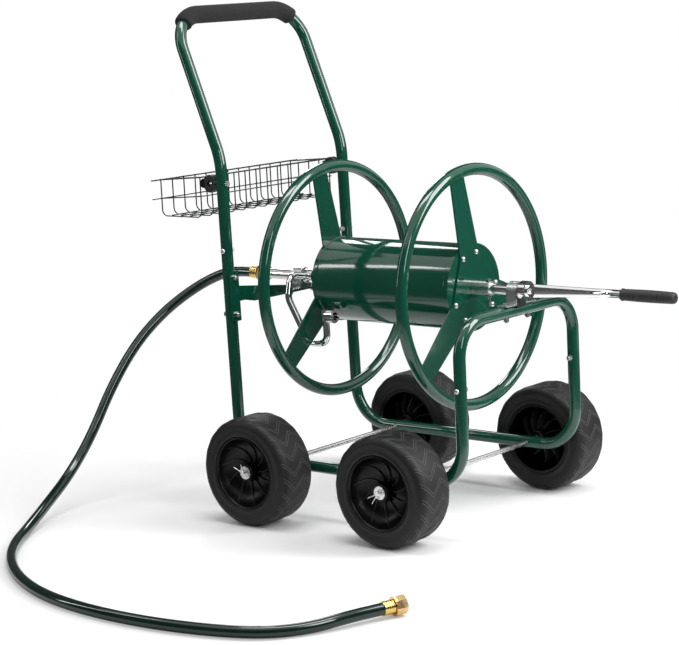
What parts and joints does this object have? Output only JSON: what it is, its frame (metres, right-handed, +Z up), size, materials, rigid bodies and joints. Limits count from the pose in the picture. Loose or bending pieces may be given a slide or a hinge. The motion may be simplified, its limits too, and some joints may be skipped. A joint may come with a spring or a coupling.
{
  "type": "garden hose reel cart",
  "caption": "Four-wheeled tubular cart with a hand-cranked hose drum between two tube rings, a push handle with a foam grip, a wire basket and a leader hose.",
  "frame": {"origin": "centre of the cart's footprint on the floor, without the leader hose", "axes": "+X towards the crank end, +Y across the cart towards the side the crank arm points to, +Z up"},
  "size_m": [1.0174, 1.1325, 0.953],
  "materials": {
    "green_paint": "gloss dark green",
    "zinc_steel": "zinc plated",
    "chrome": "polished",
    "inlet_metal": "dull plated",
    "basket_wire": "dark coated wire",
    "black_plastic": "matte",
    "tyre": "matte",
    "rim_plastic": "satin black",
    "foam": "matte foam",
    "grip_rubber": "smooth",
    "seal_rubber": "matte",
    "hose": "glossy dark green",
    "brass": "bright",
    "brass_nut": "bright"
  },
  "bodies": {
    "frame": {"side_rail_near": "green_paint", "side_rail_far": "green_paint", "front_arch": "green_paint", "handle_tube": "green_paint", "handle_foam_grip": "foam", "rear_crossmember": "green_paint", "front_axle": "zinc_steel", "rear_axle": "zinc_steel", "axle_washers": "zinc_steel", "axle_spacers": "zinc_steel", "cotter_pins": "zinc_steel", "frame_joint_bolts": "zinc_steel", "crossmember_bolts": "zinc_steel", "saddle_bolts": "zinc_steel", "front_saddle_clamp": "zinc_steel", "rear_saddle_clamp": "zinc_steel", "front_bearing_bush": "black_plastic", "inlet_body": "inlet_metal", "inlet_seals": "seal_rubber", "basket_front": "basket_wire", "basket_back": "basket_wire", "basket_near_end": "basket_wire", "basket_far_end": "basket_wire", "basket_floor": "basket_wire", "basket_clips": "black_plastic", "basket_clip_bolts": "zinc_steel", "leader_hose": "hose", "inlet_ferrule": "brass", "inlet_nut": "brass_nut", "hose_ferrule": "brass", "coupling_washers": "seal_rubber"},
    "reel": {"drum_shell": "green_paint", "drum_end_front": "green_paint", "drum_end_rear": "green_paint", "spider_front": "green_paint", "spider_rear": "green_paint", "ring_front": "green_paint", "ring_rear": "green_paint", "spider_bolts": "zinc_steel", "reel_shaft": "chrome", "drive_sleeve": "zinc_steel", "sleeve_bolt": "zinc_steel", "water_tee": "chrome", "gooseneck_pipe": "chrome", "hose_outlet": "chrome", "crank_arm": "chrome", "crank_cap": "chrome"},
    "crank_grip": {"crank_grip": "grip_rubber"},
    "hose_end_nut": {"hose_end_nut": "brass_nut"},
    "wheel_front_near": {"tyre_front_near": "tyre", "rim_front_near": "rim_plastic"},
    "wheel_front_far": {"tyre_front_far": "tyre", "rim_front_far": "rim_plastic"},
    "wheel_rear_near": {"tyre_rear_near": "tyre", "rim_rear_near": "rim_plastic"},
    "wheel_rear_far": {"tyre_rear_far": "tyre", "rim_rear_far": "rim_plastic"}
  },
  "joints": [
    {"name": "reel_spin", "type": "hinge", "parent": "frame", "child": "reel", "pos_m": [0, 0, 0.426], "axis": [1, 0, 0], "continuous": true},
    {"name": "crank_grip_spin", "type": "hinge", "parent": "reel", "child": "crank_grip", "pos_m": [0.375, 0.25362, 0.38447], "axis": [1, 0, 0], "continuous": true},
    {"name": "wheel_front_near_spin", "type": "hinge", "parent": "frame", "child": "wheel_front_near", "pos_m": [0.14902, -0.2455, 0.1015], "axis": [0, 1, 0], "continuous": true},
    {"name": "wheel_front_far_spin", "type": "hinge", "parent": "frame", "child": "wheel_front_far", "pos_m": [0.14902, 0.2455, 0.1015], "axis": [0, 1, 0], "continuous": true},
    {"name": "wheel_rear_near_spin", "type": "hinge", "parent": "frame", "child": "wheel_rear_near", "pos_m": [-0.16798, -0.2455, 0.1015], "axis": [0, 1, 0], "continuous": true},
    {"name": "wheel_rear_far_spin", "type": "hinge", "parent": "frame", "child": "wheel_rear_far", "pos_m": [-0.16798, 0.2455, 0.1015], "axis": [0, 1, 0], "continuous": true},
    {"name": "hose_end_nut_spin", "type": "hinge", "parent": "frame", "child": "hose_end_nut", "pos_m": [0.40402, -0.6, 0.0169], "axis": [0.3302, 0.9439, 0], "continuous": true}
  ]
}
